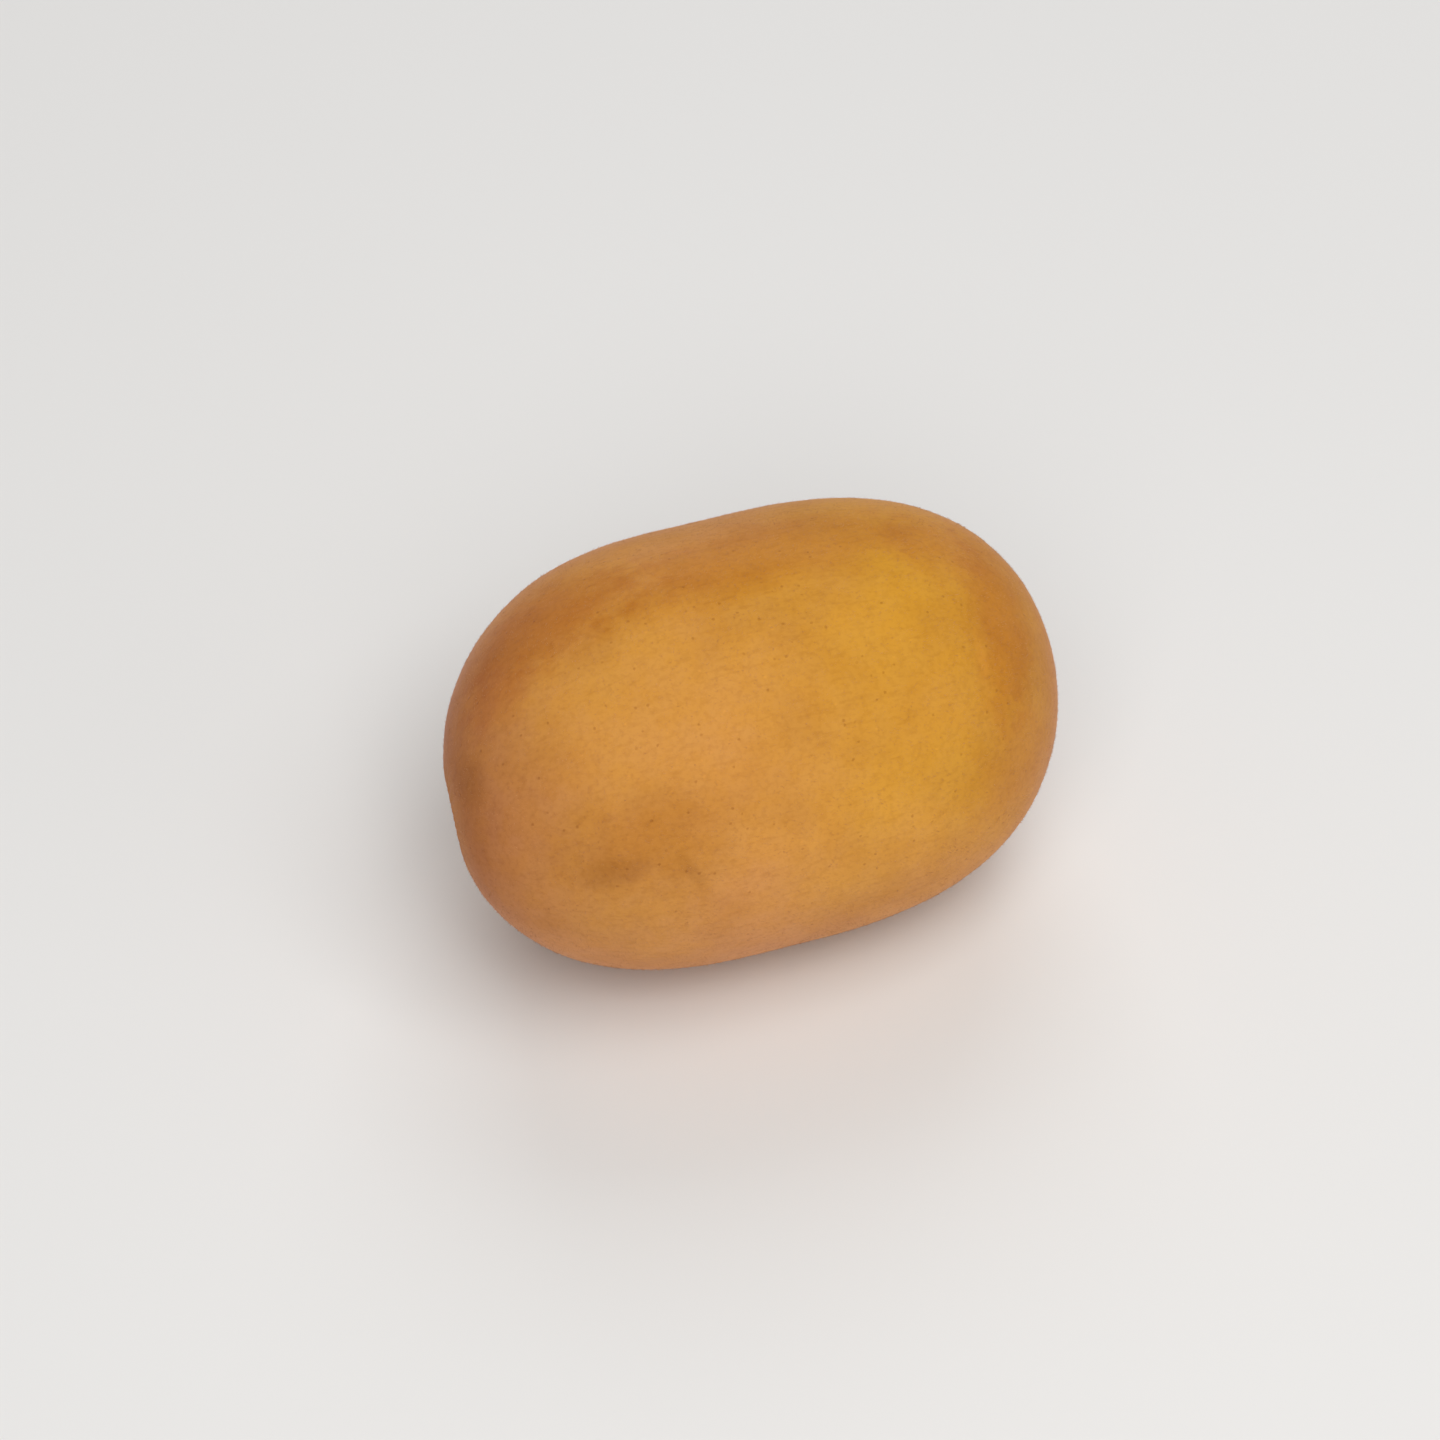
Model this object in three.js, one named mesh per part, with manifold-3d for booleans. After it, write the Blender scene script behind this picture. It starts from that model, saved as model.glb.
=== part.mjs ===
// A ripe golden kiwi fruit, whole and as picked, lying on its side.
//
// The fruit grew as one piece, so it is one solid: a plump barrel whose skin is drawn by a
// formula, with the corky stem scar sunk in one end and the withered styles of the flower
// left on the other. Its belly is pressed flat over a small spot, where it rests.
//
// Millimetres. +X runs from the stem end to the blossom end, +Z is up, and the origin is
// under the middle of the fruit, on the surface that it rests on.

import * as THREE from "three";
import { mergeVertices } from "three/addons/utils/BufferGeometryUtils.js";
import Module from "manifold-3d";

// The barrel: its size, and how full and how crooked it grew.
const WIDTH = 52;
const HEIGHT = 49.5;
const STEM_REACH = 35.6; // from the widest station to the stem end
const BLOSSOM_REACH = 39.3; // from the widest station to the blossom end
const STEM_FULLNESS = 2.72; // 2 is an ellipse, and more is a blunter end
const BLOSSOM_FULLNESS = 2.97;
const SIDE_SWAY = 2; // the stem end lies this far to -Y, the blossom end as far to +Y
const STEM_SLANT = 0.2; // how steeply the stem end's face leans under the fruit
const FLAT_DEPTH = 0.3; // how deep the belly is pressed in at the resting spot

// Long shallow swellings of the flesh: waves round the fruit, turning as they run along it.
const SWELLINGS = [
  { round: 2, twist: 0.9, phase: 1.1, height: 0.12 },
  { round: 3, twist: 1.7, phase: -0.6, height: 0.14 },
  { round: 5, twist: -1.2, phase: 2.0, height: 0.08 },
];

// The soft hollow that each end's scar lies in.
const HOLLOW_RADIUS = 8;
const HOLLOW_DEPTH = 0.5;

// The stem scar: a round pit, a corky button in it, and what is left of the sepals.
const PIT_RADIUS = 6;
const PIT_FLOOR_RADIUS = 4.2;
const PIT_DEPTH = 1.4;
const BUTTON_RADIUS = 3.5;
const BUTTON_HEIGHT = 1.05;
const BUTTON_EDGE = 0.35;
const STALK_HOLE_RADIUS = 0.8;
const STALK_HOLE_DEPTH = 0.4;
const SEPALS = 5;
const SEPAL_HEIGHT = 0.35;
const SEPAL_RING_RADIUS = 4.7;
const SEPAL_RING_WIDTH = 0.55;

// The blossom end: a shallow puckered dimple, a scab in it, and the stubs of the styles.
const DIMPLE_RADIUS = 5.2;
const DIMPLE_DEPTH = 1.0;
const SCAB_RADIUS = 2.1;
const SCAB_HEIGHT = 0.5;
const PLEATS = 11;
const PLEAT_HEIGHT = 0.14;
const STYLE_RINGS = [
  { count: 1, radius: 0, lean: 0 },
  { count: 6, radius: 0.85, lean: 0.5 },
  { count: 11, radius: 1.65, lean: 1.2 },
];
const STYLE_ROOT_RADIUS = 0.36;
const STYLE_TIP_RADIUS = 0.16;
const STYLE_LENGTH = 1.9;
const STYLE_SUNK = 0.7;

// The mesh of the skin.
const SEGMENTS_ROUND = 72;
const BARREL_RINGS = 30;
const END_RING_RADII = [
  0.35, 0.7, 1.3, 2.0, 2.45, 2.85, 3.2, 3.55, 3.9, 4.3, 4.8, 5.3, 5.9, 6.7, 7.9, 9.4, 11.2,
];

const MEAN_RADIUS = (WIDTH + HEIGHT) / 4;
const SKIN_COLOUR = 0xc98a3e;
const SKIN_ROUGHNESS = 0.62;

const wasm = await Module();
wasm.setup();

// 0 below `low`, 1 above `high`, and a smooth rise between them.
const rise = (low, high, value) => THREE.MathUtils.smoothstep(value, low, high);

// A smooth hump of height 1 round `middle`.
const hump = (middle, halfWidth, value) => Math.exp(-(((value - middle) / halfWidth) ** 2));

// How far the skin of either end lies below the barrel, `radius` from the scar's middle.
const hollow = (radius) => -HOLLOW_DEPTH * hump(0, HOLLOW_RADIUS, radius);

// How far the skin of the stem end stands out.
function stemRelief(radius, angle) {
  const edge =
    BUTTON_RADIUS * (1 + 0.07 * Math.cos(5 * angle + 0.4) + 0.05 * Math.cos(3 * angle + 2));
  const pit = -PIT_DEPTH * (1 - rise(PIT_FLOOR_RADIUS, PIT_RADIUS, radius));
  const button = BUTTON_HEIGHT * (1 - rise(edge - BUTTON_EDGE, edge + BUTTON_EDGE, radius));
  const hole = -STALK_HOLE_DEPTH * (1 - rise(0.2, STALK_HOLE_RADIUS, radius));
  const lobe = Math.max(0, Math.cos(SEPALS * angle + 0.8)) ** 2;
  const sepals = SEPAL_HEIGHT * lobe * hump(SEPAL_RING_RADIUS, SEPAL_RING_WIDTH, radius);
  return hollow(radius) + pit + button + hole + sepals;
}

// The same for the blossom end.
function blossomRelief(radius, angle) {
  const ragged = radius * (1 + 0.08 * Math.cos(6 * angle + 1));
  const dimple = -DIMPLE_DEPTH * (1 - rise(1.2, DIMPLE_RADIUS, radius));
  const scab = SCAB_HEIGHT * (1 - rise(SCAB_RADIUS - 0.4, SCAB_RADIUS + 0.4, ragged));
  const pleats = PLEAT_HEIGHT * Math.cos(PLEATS * angle) * hump(3.7, 1.1, radius);
  return hollow(radius) + dimple + scab + pleats;
}

// How far the swellings lift the skin, `along` from -1 at the stem end to 1 at the other.
function swelling(along, angle) {
  return SWELLINGS.reduce(
    (sum, wave) =>
      sum + wave.height * Math.cos(wave.round * angle + wave.twist * along + wave.phase),
    0,
  );
}

// The point of the skin at a station along the fruit and an angle round it from +Y.
function skinPoint(along, angle) {
  const atStem = along < 0;
  const reach = atStem ? STEM_REACH : BLOSSOM_REACH;
  const fullness = atStem ? STEM_FULLNESS : BLOSSOM_FULLNESS;
  const girth = Math.sqrt(Math.max(0, 1 - Math.abs(along) ** fullness));
  const radius = girth * MEAN_RADIUS;
  const relief = atStem ? -stemRelief(radius, angle) : blossomRelief(radius, angle);
  const lift = swelling(along, angle) * girth;
  const across = (WIDTH / 2) * girth + lift;
  const upward = (HEIGHT / 2) * girth + lift;
  const slant = atStem ? STEM_SLANT * along ** 4 : 0;
  const y = across * Math.cos(angle);
  const z = upward * Math.sin(angle);
  return new THREE.Vector3(
    reach * along + relief + slant * (y - z),
    y + SIDE_SWAY * along * Math.abs(along),
    z,
  );
}

// The station where the barrel is `radius` from its axis.
const stationAt = (radius, fullness) => (1 - (radius / MEAN_RADIUS) ** 2) ** (1 / fullness);

// Every ring's station, close together round the scars and even over the barrel.
function ringStations() {
  const stemEnd = END_RING_RADII.map((radius) => -stationAt(radius, STEM_FULLNESS));
  const blossomEnd = END_RING_RADII.map((radius) => stationAt(radius, BLOSSOM_FULLNESS)).reverse();
  const first = Math.acos(-stemEnd.at(-1));
  const last = Math.PI - Math.acos(blossomEnd[0]);
  const barrel = [];
  for (let i = 1; i < BARREL_RINGS; i++)
    barrel.push(-Math.cos(first + ((last - first) * i) / BARREL_RINGS));
  return [...stemEnd, ...barrel, ...blossomEnd];
}

// The whole skin as one closed mesh: a fan at each pole and a band between each two rings.
function skinGeometry() {
  const points = [skinPoint(-1, 0)];
  const faces = [];
  const stations = ringStations();
  const at = (ring, segment) => 1 + ring * SEGMENTS_ROUND + (segment % SEGMENTS_ROUND);
  stations.forEach((along) => {
    for (let s = 0; s < SEGMENTS_ROUND; s++)
      points.push(skinPoint(along, (2 * Math.PI * s) / SEGMENTS_ROUND));
  });
  points.push(skinPoint(1, 0));
  const lastRing = stations.length - 1;
  const blossomPole = points.length - 1;
  for (let s = 0; s < SEGMENTS_ROUND; s++) {
    faces.push(0, at(0, s + 1), at(0, s));
    faces.push(blossomPole, at(lastRing, s), at(lastRing, s + 1));
    for (let r = 0; r < lastRing; r++) {
      faces.push(at(r, s), at(r, s + 1), at(r + 1, s + 1));
      faces.push(at(r, s), at(r + 1, s + 1), at(r + 1, s));
    }
  }
  return new THREE.BufferGeometry().setFromPoints(points).setIndex(faces);
}

// A closed indexed geometry as a solid that can be joined and cut.
function solidOf(geometry) {
  return new wasm.Manifold(
    new wasm.Mesh({
      numProp: 3,
      vertProperties: new Float32Array(geometry.attributes.position.array),
      triVerts: new Uint32Array(geometry.index.array),
    }),
  );
}

// A tapered five-sided peg, from its root at the origin along +X, closed and with no seams.
function pegGeometry(rootRadius, tipRadius, length) {
  const sides = 5;
  const points = [new THREE.Vector3(0, 0, 0), new THREE.Vector3(length, 0, 0)];
  const faces = [];
  for (const [x, radius] of [
    [0, rootRadius],
    [length, tipRadius],
  ])
    for (let s = 0; s < sides; s++) {
      const angle = (2 * Math.PI * s) / sides;
      points.push(new THREE.Vector3(x, radius * Math.cos(angle), radius * Math.sin(angle)));
    }
  for (let s = 0; s < sides; s++) {
    const [root, nextRoot] = [2 + s, 2 + ((s + 1) % sides)];
    const [tip, nextTip] = [root + sides, nextRoot + sides];
    faces.push(0, nextRoot, root, 1, tip, nextTip);
    faces.push(root, nextRoot, nextTip, root, nextTip, tip);
  }
  return new THREE.BufferGeometry().setFromPoints(points).setIndex(faces);
}

// The stubs of the styles, standing out of the scab and leaning away from its middle.
function styleSolids() {
  const middle = skinPoint(1, 0);
  return STYLE_RINGS.flatMap(({ count, radius, lean }) =>
    Array.from({ length: count }, (_, i) => {
      const angle = (2 * Math.PI * (i + 0.5 * radius)) / count;
      const outward = new THREE.Vector3(0, Math.cos(angle), Math.sin(angle));
      const direction = new THREE.Vector3(1, 0, 0).addScaledVector(outward, lean).normalize();
      const root = middle
        .clone()
        .addScaledVector(outward, radius)
        .addScaledVector(direction, -STYLE_SUNK);
      const turn = new THREE.Quaternion().setFromUnitVectors(new THREE.Vector3(1, 0, 0), direction);
      const peg = pegGeometry(STYLE_ROOT_RADIUS, STYLE_TIP_RADIUS, STYLE_LENGTH);
      return solidOf(peg.applyQuaternion(turn).translate(root.x, root.y, root.z));
    }),
  );
}

// The block that the belly is pressed flat against.
function surfaceUnder(geometry) {
  geometry.computeBoundingBox();
  const top = geometry.boundingBox.min.z + FLAT_DEPTH;
  const block = new THREE.BoxGeometry(WIDTH, WIDTH, HEIGHT).translate(0, 0, top - HEIGHT / 2);
  block.deleteAttribute("normal").deleteAttribute("uv");
  return block;
}

// A solid's surface as a geometry.
function geometryOf(solid) {
  const mesh = solid.getMesh();
  return new THREE.BufferGeometry()
    .setAttribute("position", new THREE.BufferAttribute(mesh.vertProperties, 3))
    .setIndex(new THREE.BufferAttribute(mesh.triVerts, 1));
}

// The fruit: skin and styles joined, the belly cut flat, and stood on the origin.
function fruitGeometry() {
  const skin = skinGeometry();
  const whole = styleSolids().reduce((sum, style) => sum.add(style), solidOf(skin));
  const pressed = whole.subtract(solidOf(mergeVertices(surfaceUnder(skin))));
  const fruit = geometryOf(pressed);
  fruit.computeBoundingBox();
  const { min, max } = fruit.boundingBox;
  return fruit.translate(-(min.x + max.x) / 2, -(min.y + max.y) / 2, -min.z);
}

const fruit = new THREE.Mesh(
  fruitGeometry(),
  new THREE.MeshStandardMaterial({
    color: SKIN_COLOUR,
    roughness: SKIN_ROUGHNESS,
    metalness: 0,
  }),
);
fruit.name = "kiwi_fruit";

const part = new THREE.Group();
part.name = "golden_kiwi_fruit";
part.add(fruit);

export default part;
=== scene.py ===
# %% [markdown]
# # A golden kiwi fruit, lying on its side
#
# This lesson dresses one whole golden kiwi fruit. A plain solid of it already exists, with the
# right size and place. Here it gets what makes it look alive: a fine uneven skin, a corky scar
# where the stalk broke off, a star of withered styles where the flower was, and a short down.
#
# The frame comes first. It holds that solid as one node, `kiwi_fruit`, in metres, with +X from
# the stem end to the blossom end and +Z up. Everything below is measured from it, so that a
# piece never has to be fitted afterwards. Its box is kept, and its size is printed.

# %% Load the frame
import math

import bpy
import numpy as np
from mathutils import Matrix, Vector


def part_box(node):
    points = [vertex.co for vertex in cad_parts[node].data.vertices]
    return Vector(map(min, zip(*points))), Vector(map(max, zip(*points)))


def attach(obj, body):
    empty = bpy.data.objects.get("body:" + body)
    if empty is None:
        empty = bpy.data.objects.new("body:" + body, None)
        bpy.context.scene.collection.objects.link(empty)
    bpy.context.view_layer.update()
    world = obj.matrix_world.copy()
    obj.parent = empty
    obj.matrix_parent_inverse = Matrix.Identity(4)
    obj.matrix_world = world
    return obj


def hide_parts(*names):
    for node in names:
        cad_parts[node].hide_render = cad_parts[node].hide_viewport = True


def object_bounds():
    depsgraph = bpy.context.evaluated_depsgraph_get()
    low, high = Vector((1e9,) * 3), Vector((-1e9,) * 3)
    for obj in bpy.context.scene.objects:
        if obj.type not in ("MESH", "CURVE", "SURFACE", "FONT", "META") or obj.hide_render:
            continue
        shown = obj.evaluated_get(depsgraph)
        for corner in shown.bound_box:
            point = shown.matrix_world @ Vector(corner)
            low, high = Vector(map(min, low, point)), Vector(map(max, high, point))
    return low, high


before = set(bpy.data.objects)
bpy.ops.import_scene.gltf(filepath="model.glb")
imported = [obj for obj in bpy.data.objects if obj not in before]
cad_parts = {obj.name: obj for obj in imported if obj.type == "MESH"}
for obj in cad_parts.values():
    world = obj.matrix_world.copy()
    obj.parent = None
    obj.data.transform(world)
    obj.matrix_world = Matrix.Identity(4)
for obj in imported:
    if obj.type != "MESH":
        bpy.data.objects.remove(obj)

MM = 0.001
solid_low, solid_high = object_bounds()
solid_size = [round((high - low) / MM, 1) for low, high in zip(solid_low, solid_high)]
print("the solid measures", solid_size, "mm")

# %% [markdown]
# ## The camera
#
# A fruit on a table is seen from above and a little from the side. The camera looks down at 45
# degrees, from a little to the left of square on, so that the long axis runs uphill to the right
# and the stem end comes nearer. A long lens from 0.8 m keeps the barrel's two sides nearly
# parallel. The lens is worked out from how many pixels a millimetre should cover, and the small
# shift sets the fruit a little right of the picture's middle and below it without turning the
# camera.

# %% Place the camera
PICTURE_SIDE = 1440  # pixels
PIXELS_PER_MM = 8.6  # at the fruit's middle
FRUIT_MIDDLE_PIXEL = (747.7, 732.2)  # right and down from the picture's corner
AZIMUTH = math.radians(-19.6)
ELEVATION = math.radians(45)
CAMERA_DISTANCE = 0.8
SENSOR = 36  # mm, the width of a full-frame sensor


def direction_from(azimuth, elevation):
    """The way from the fruit to something seen at these angles. Azimuth 0 is the -Y side."""
    level = math.cos(elevation)
    return Vector((math.sin(azimuth) * level, -math.cos(azimuth) * level, math.sin(elevation)))


fruit_middle = (solid_low + solid_high) / 2
towards_camera = direction_from(AZIMUTH, ELEVATION)
camera_data = bpy.data.cameras.new("camera")
camera_data.sensor_width = SENSOR
camera_data.lens = PIXELS_PER_MM * CAMERA_DISTANCE / MM * SENSOR / PICTURE_SIDE
camera_data.shift_x = (PICTURE_SIDE / 2 - FRUIT_MIDDLE_PIXEL[0]) / PICTURE_SIDE
camera_data.shift_y = (FRUIT_MIDDLE_PIXEL[1] - PICTURE_SIDE / 2) / PICTURE_SIDE
camera = bpy.data.objects.new("camera", camera_data)
camera.location = fruit_middle + towards_camera * CAMERA_DISTANCE
camera.rotation_mode = "QUATERNION"
camera.rotation_quaternion = (-towards_camera).to_track_quat("-Z", "Y")
bpy.context.scene.collection.objects.link(camera)
bpy.context.scene.camera = camera
print("the lens is", round(camera_data.lens), "mm")

# %% [markdown]
# ## The barrel
#
# A kiwi fruit swells evenly from a flower, so its form is close to a formula: a barrel that is
# rounder than a cylinder and blunter than an egg. It could be sculpted by hand, but a formula
# can be drawn at any fineness and always comes out as the same fruit. These are the driving
# sizes of the solid, in millimetres, and the same way of turning them into a surface.
#
# `along` runs from -1 at the stem end to 1 at the blossom end. `angle` turns round the fruit.
# The whole skin is worked out at once, as arrays, which takes no longer than one point would.

# %% Driving sizes of the barrel
WIDTH = 52
HEIGHT = 49.5
STEM_REACH = 35.6  # from the widest station to the stem end
BLOSSOM_REACH = 39.3
STEM_FULLNESS = 2.72  # 2 is an ellipse, and more is a blunter end
BLOSSOM_FULLNESS = 2.97
SIDE_SWAY = 2  # the fruit is a little crooked
STEM_SLANT = 0.2
MEAN_RADIUS = (WIDTH + HEIGHT) / 4

# Long shallow swellings: how many go round, how far they turn, where they start, how high.
SWELLINGS = [(2, 0.9, 1.1, 0.12), (3, 1.7, -0.6, 0.14), (5, -1.2, 2.0, 0.08)]


def rise(low, high, value):
    """0 below `low`, 1 above `high`, and a smooth rise between them."""
    share = np.clip((value - low) / (high - low), 0, 1)
    return share * share * (3 - 2 * share)


def hump(middle, half_width, value):
    """A smooth hump of height 1 round `middle`."""
    return np.exp(-(((value - middle) / half_width) ** 2))


def swelling(along, angle):
    """How far the long swellings lift the skin."""
    return sum(
        height * np.cos(count * angle + twist * along + phase)
        for count, twist, phase, height in SWELLINGS
    )


print("the barrel is", round(STEM_REACH + BLOSSOM_REACH, 1), "mm long before its ends are sunk")

# %% [markdown]
# ## The two ends
#
# Both ends of the barrel are sunk. At the stem end there is a round pit with a corky button in
# it, which is a piece of its own further down, so here only the pit and the humps under the
# dried sepals are drawn. At the blossom end the skin draws together in pleats round a small
# scab. Near both scars real skin is finely creased, so narrow folds run out from them.

# %% Relief of the ends
HOLLOW_RADIUS = 8
HOLLOW_DEPTH = 0.5
PIT_RADIUS = 6
PIT_FLOOR_RADIUS = 4.2
PIT_DEPTH = 1.4
SEPALS = 5
SEPAL_HEIGHT = 0.35
SEPAL_RING_RADIUS = 4.7
SEPAL_RING_WIDTH = 0.55
SEPAL_PHASE = 0.8
DIMPLE_RADIUS = 5.2
DIMPLE_FLOOR_RADIUS = 1.2
DIMPLE_DEPTH = 1.0
SCAB_RADIUS = 2.1
SCAB_HEIGHT = 0.5
PLEATS = 11
PLEAT_HEIGHT = 0.14
PLEAT_RADIUS = 3.7
PLEAT_WIDTH = 1.1
FINE_CREASES = 31
FINE_CREASE_DEPTH = 0.1
STEM_CREASES = (6.7, 1.4)  # how far out they are deepest, and over what half width
BLOSSOM_CREASES = (4.6, 1.6)


def hollow(radius):
    """How far either end lies below the barrel."""
    return -HOLLOW_DEPTH * hump(0, HOLLOW_RADIUS, radius)


def fine_creases(radius, angle, middle, half_width):
    """Narrow folds that run out from a scar, none quite like its neighbour."""
    wander = 1.3 * np.sin(3 * angle + 0.7) + 0.8 * np.sin(7 * angle + 2)
    fold = np.abs(np.sin(FINE_CREASES / 2 * angle + wander))
    return -FINE_CREASE_DEPTH * (1 - fold) ** 2 * hump(middle, half_width, radius)


def stem_relief(radius, angle):
    """How far the stem end's skin stands out from the barrel."""
    pit = -PIT_DEPTH * (1 - rise(PIT_FLOOR_RADIUS, PIT_RADIUS, radius))
    lobe = np.maximum(0, np.cos(SEPALS * angle + SEPAL_PHASE)) ** 2
    sepals = SEPAL_HEIGHT * lobe * hump(SEPAL_RING_RADIUS, SEPAL_RING_WIDTH, radius)
    return hollow(radius) + pit + sepals + fine_creases(radius, angle, *STEM_CREASES)


def blossom_relief(radius, angle):
    """The same for the blossom end."""
    ragged = radius * (1 + 0.08 * np.cos(6 * angle + 1))
    dimple = -DIMPLE_DEPTH * (1 - rise(DIMPLE_FLOOR_RADIUS, DIMPLE_RADIUS, radius))
    scab = SCAB_HEIGHT * (1 - rise(SCAB_RADIUS - 0.4, SCAB_RADIUS + 0.4, ragged))
    pleats = PLEAT_HEIGHT * np.cos(PLEATS * angle) * hump(PLEAT_RADIUS, PLEAT_WIDTH, radius)
    return hollow(radius) + dimple + scab + pleats + fine_creases(radius, angle, *BLOSSOM_CREASES)


def skin_point(along, angle):
    """The points of the skin, in the solid's own millimetres."""
    at_stem = along < 0
    reach = np.where(at_stem, STEM_REACH, BLOSSOM_REACH)
    fullness = np.where(at_stem, STEM_FULLNESS, BLOSSOM_FULLNESS)
    girth = np.sqrt(np.maximum(0, 1 - np.abs(along) ** fullness))
    radius = girth * MEAN_RADIUS
    relief = np.where(at_stem, -stem_relief(radius, angle), blossom_relief(radius, angle))
    lift = swelling(along, angle) * girth
    y = (WIDTH / 2 * girth + lift) * np.cos(angle)
    z = (HEIGHT / 2 * girth + lift) * np.sin(angle)
    slant = np.where(at_stem, STEM_SLANT * along**4, 0)
    x = reach * along + relief + slant * (y - z)
    return np.stack([x, y + SIDE_SWAY * along * np.abs(along), z], axis=-1)


# %% [markdown]
# ## A fine net for the skin
#
# The skin is a net of rings and spokes, closed by a fan at each pole. Over the scars the rings
# stand 0.14 mm apart, because the creases there are that fine. Over the barrel half a
# millimetre is enough. That keeps the whole net under 200,000 triangles.

# %% Draw the net
SPOKES = 320
SCAR_RING_STEP = 0.14
SCAR_REACH = 7  # how far out from each pole the rings stay close
BARREL_RINGS = 198


def station_at(radius, fullness):
    """The station where the barrel is `radius` from its axis."""
    return (1 - (radius / MEAN_RADIUS) ** 2) ** (1 / fullness)


def ring_stations():
    """Where along the fruit every ring of the net lies."""
    radii = np.arange(SCAR_RING_STEP, SCAR_REACH, SCAR_RING_STEP)
    stem = -station_at(radii, STEM_FULLNESS)
    blossom = station_at(radii, BLOSSOM_FULLNESS)[::-1]
    first = np.arccos(-stem[-1])
    last = math.pi - np.arccos(blossom[0])
    barrel = -np.cos(np.linspace(first, last, BARREL_RINGS + 1)[1:-1])
    return np.concatenate([stem, barrel, blossom])


def net_faces(rings, spokes):
    """Faces between rings of points, with a pole before the first and after the last."""
    ring, spoke = np.meshgrid(np.arange(rings - 1), np.arange(spokes), indexing="ij")
    here = 1 + ring * spokes + spoke
    beside = 1 + ring * spokes + (spoke + 1) % spokes
    bands = np.stack([here, beside, beside + spokes, here + spokes], axis=-1).reshape(-1, 4)
    last = 1 + (rings - 1) * spokes
    start = [(0, 1 + (s + 1) % spokes, 1 + s) for s in range(spokes)]
    end = [(last + spokes, last + s, last + (s + 1) % spokes) for s in range(spokes)]
    return bands.tolist() + start + end


stations = ring_stations()
spoke_angles = np.arange(SPOKES) * 2 * math.pi / SPOKES
ring_along, ring_angle = np.meshgrid(stations, spoke_angles, indexing="ij")
net_along = np.concatenate([[-1], ring_along.ravel(), [1]])
net_angle = np.concatenate([[0], ring_angle.ravel(), [0]])
drawn = skin_point(net_along, net_angle)
skin_faces = net_faces(len(stations), SPOKES)
print("the net has", len(stations), "rings and", len(skin_faces), "faces")

# %% [markdown]
# ## Standing the net where the solid stands
#
# The formula draws the fruit round its own axis. The solid was stood on its belly afterwards,
# with the middle of its box over the origin. The net is moved the same way, by the low corner
# of the solid's box. The belly is pressed flat by 0.3 mm, like the solid's, but softly: a
# firm fruit has no sharp edge round the spot that it lies on.

# %% Stand the net on its belly
FLAT_DEPTH = 0.3
PRESS_SOFTNESS = 0.07
FAR_FROM_FLOOR = 40  # in softnesses, where the pressing changes nothing

low_corner = np.array(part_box("kiwi_fruit")[0]) / MM
to_frame = low_corner - drawn.min(axis=0) - [0, 0, FLAT_DEPTH]


def pressed(points):
    """Points moved into the frame, with the belly softly flattened at the floor."""
    moved = points + to_frame
    depth = np.clip(moved[:, 2] / PRESS_SOFTNESS, -FAR_FROM_FLOOR, FAR_FROM_FLOOR)
    near = depth < FAR_FROM_FLOOR
    moved[:, 2] = np.where(near, PRESS_SOFTNESS * np.log1p(np.exp(depth)), moved[:, 2])
    return moved


standing = pressed(drawn)
print("the net lies between", standing.min(axis=0).round(2), "and", standing.max(axis=0).round(2))

# %% [markdown]
# ## Uneven growth
#
# No fruit follows its formula to a tenth of a millimetre. Flesh swells a little more here and a
# little less there, and the soft light on the barrel shows it as faint broad patches. Random
# noise could be read from Blender's textures, but a handful of long cosine waves, thrown in
# random directions, gives the same smooth unevenness. The draws are seeded, so that it is the
# same fruit every time. The bumps fade out at the floor, so that the flat spot stays flat.

# %% Lift the skin unevenly
UNEVENNESS = [(11, 0.10, 1), (4.5, 0.035, 2), (1.7, 0.012, 3)]  # size, height in mm, and seed
LIFTED_FROM, LIFTED_FULLY = 0.3, 4  # mm over the floor


def grown_waves(points, size, seed, count=32):
    """A smooth random field, mostly within -1 and 1, with bumps `size` across."""
    draw = np.random.default_rng(seed)
    ways = draw.normal(size=(count, 3))
    ways /= np.linalg.norm(ways, axis=1, keepdims=True)
    lengths = 2 * size * draw.uniform(0.7, 1.4, count)
    phases = draw.uniform(0, 2 * math.pi, count)
    total = np.zeros(len(points))
    for way, length, phase in zip(ways, lengths, phases):
        total += np.cos(points @ way * 2 * math.pi / length + phase)
    return total / math.sqrt(2 * count)


def outward_normals(points, faces):
    """The normal at every point, from a mesh that is thrown away again."""
    mesh = bpy.data.meshes.new("scratch")
    mesh.from_pydata(points.tolist(), [], faces)
    normals = np.zeros(len(points) * 3, np.float32)
    mesh.vertex_normals.foreach_get("vector", normals)
    bpy.data.meshes.remove(mesh)
    return normals.reshape(-1, 3).astype(float)


normals = outward_normals(standing, skin_faces)
lift = sum(height * grown_waves(standing, size, seed) for size, height, seed in UNEVENNESS)
lift *= rise(LIFTED_FROM, LIFTED_FULLY, standing[:, 2])
skin_points = standing + normals * lift[:, None]
print("the skin is lifted by", lift.min().round(2), "to", lift.max().round(2), "mm")

# %% [markdown]
# ## Where the skin changes near the scars
#
# Colour follows form at the two ends: the pit is dark and corky, a browned ring lies round it,
# and the blossom end's scab is surrounded by olive skin. The blossom end's shoulder is darker.
# The stem end's shoulder gets painted shade, mostly in a ring some way out from the scar, and
# strongest higher up.
# The net knows how far each of its points is from the scar. That distance is bent a little, so
# that no edge is a circle, and written onto the points as named attributes, 0 to 1. The skin's
# finish reads them further down. Painting them by hand would need an image.

# %% Make the skin and write the scar attributes
EDGE_BENDS = [(1.6, 0.35, 4), (0.6, 0.2, 5)]  # size, reach in mm, and seed
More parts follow.
